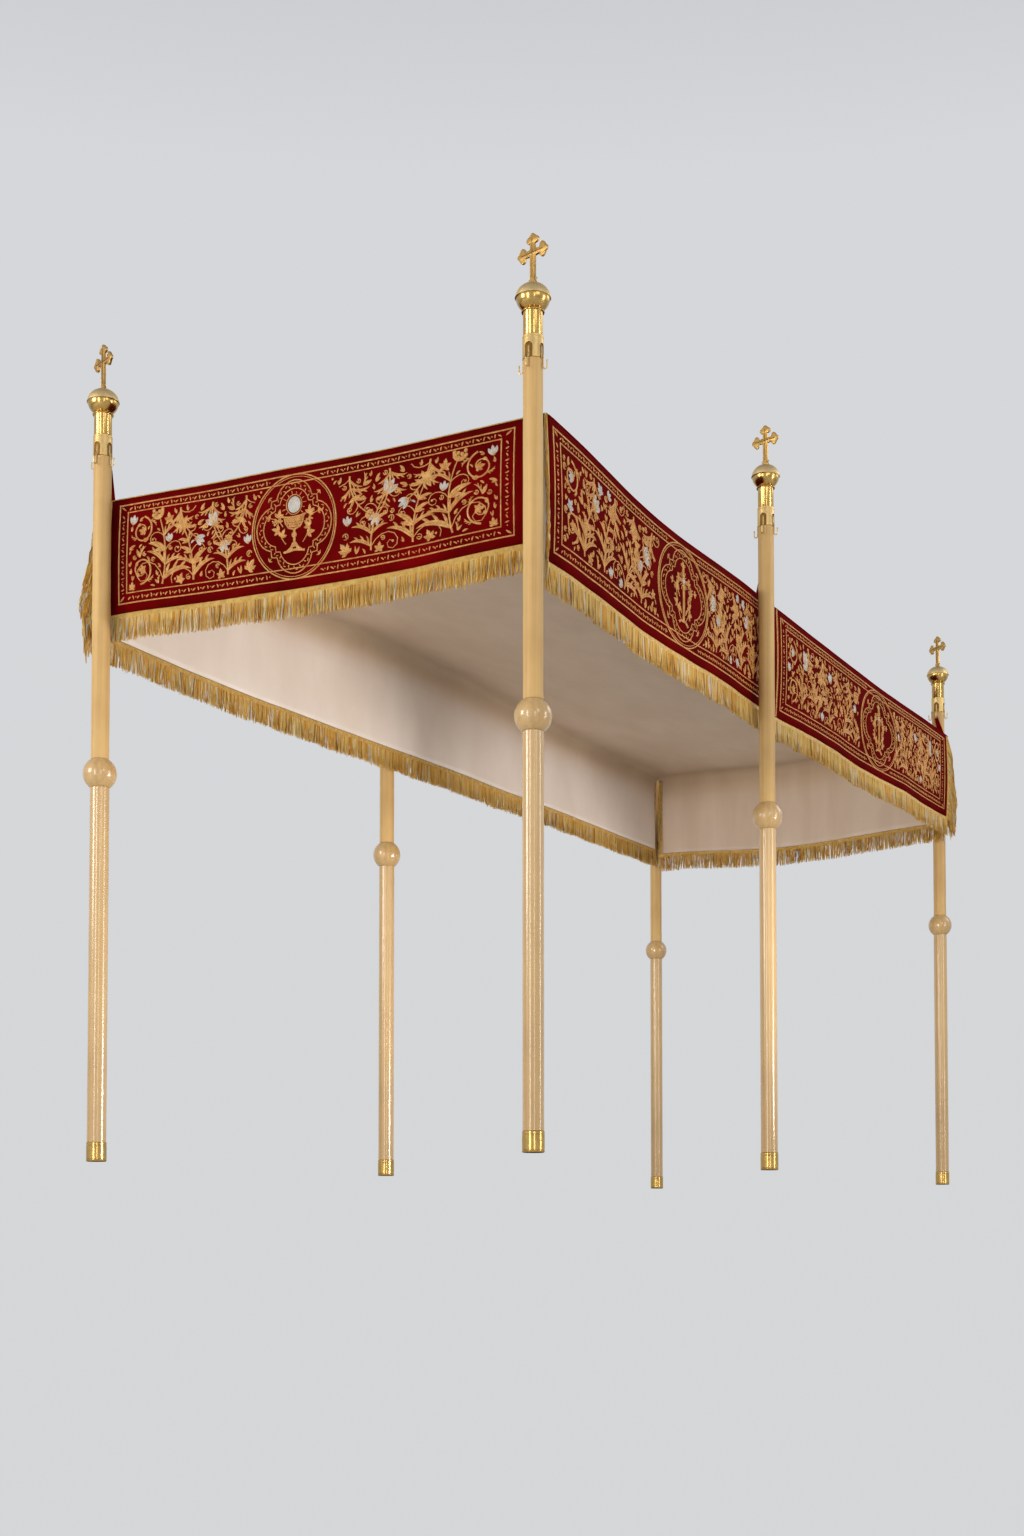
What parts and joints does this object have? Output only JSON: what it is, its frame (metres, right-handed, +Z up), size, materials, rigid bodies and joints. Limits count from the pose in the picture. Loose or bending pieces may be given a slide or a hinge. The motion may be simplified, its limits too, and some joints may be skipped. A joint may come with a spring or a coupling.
{
  "type": "processional canopy on six staves",
  "caption": "Velvet canopy with fringed embroidered sides and a satin lining, hooked to brass-topped wooden staves with budded crosses.",
  "frame": {"origin": "middle of the canopy's footprint, on the surface the staves stand on", "axes": "+Z up; +Y along the canopy, away from the front; +X across it, to the right seen from the front"},
  "size_m": [1.6358, 4.3496, 2.5944],
  "materials": {
    "brass": "polished, with a satin dome on each finial",
    "lacquered_wood": "smooth pale lacquer, glossy",
    "velvet": "dark red cut velvet with raised gold and silver thread",
    "satin": "cream satin, soft sheen",
    "gold_thread": "twisted metal thread, soft metallic"
  },
  "bodies": {
    "root": {"foot_front_right": "brass", "shaft_lower_front_right": "lacquered_wood", "knob_front_right": "lacquered_wood", "shaft_upper_front_right": "lacquered_wood", "socket_front_right": "brass", "finial_front_right": "brass", "cross_front_right": "brass", "strap_front_right": "velvet", "foot_front_left": "brass", "shaft_lower_front_left": "lacquered_wood", "knob_front_left": "lacquered_wood", "shaft_upper_front_left": "lacquered_wood", "socket_front_left": "brass", "finial_front_left": "brass", "cross_front_left": "brass", "strap_front_left": "velvet", "foot_mid_right": "brass", "shaft_lower_mid_right": "lacquered_wood", "knob_mid_right": "lacquered_wood", "shaft_upper_mid_right": "lacquered_wood", "socket_mid_right": "brass", "finial_mid_right": "brass", "cross_mid_right": "brass", "strap_mid_right": "velvet", "foot_mid_left": "brass", "shaft_lower_mid_left": "lacquered_wood", "knob_mid_left": "lacquered_wood", "shaft_upper_mid_left": "lacquered_wood", "socket_mid_left": "brass", "finial_mid_left": "brass", "cross_mid_left": "brass", "strap_mid_left": "velvet", "foot_back_right": "brass", "shaft_lower_back_right": "lacquered_wood", "knob_back_right": "lacquered_wood", "shaft_upper_back_right": "lacquered_wood", "socket_back_right": "brass", "finial_back_right": "brass", "cross_back_right": "brass", "strap_back_right": "velvet", "foot_back_left": "brass", "shaft_lower_back_left": "lacquered_wood", "knob_back_left": "lacquered_wood", "shaft_upper_back_left": "lacquered_wood", "socket_back_left": "brass", "finial_back_left": "brass", "cross_back_left": "brass", "strap_back_left": "velvet", "roof": "velvet", "lining": "satin", "side_front": "velvet", "fringe_front": "gold_thread", "side_back": "velvet", "fringe_back": "gold_thread", "side_left": "velvet", "fringe_left": "gold_thread", "side_right": "velvet", "fringe_right": "gold_thread"}
  },
  "joints": []
}
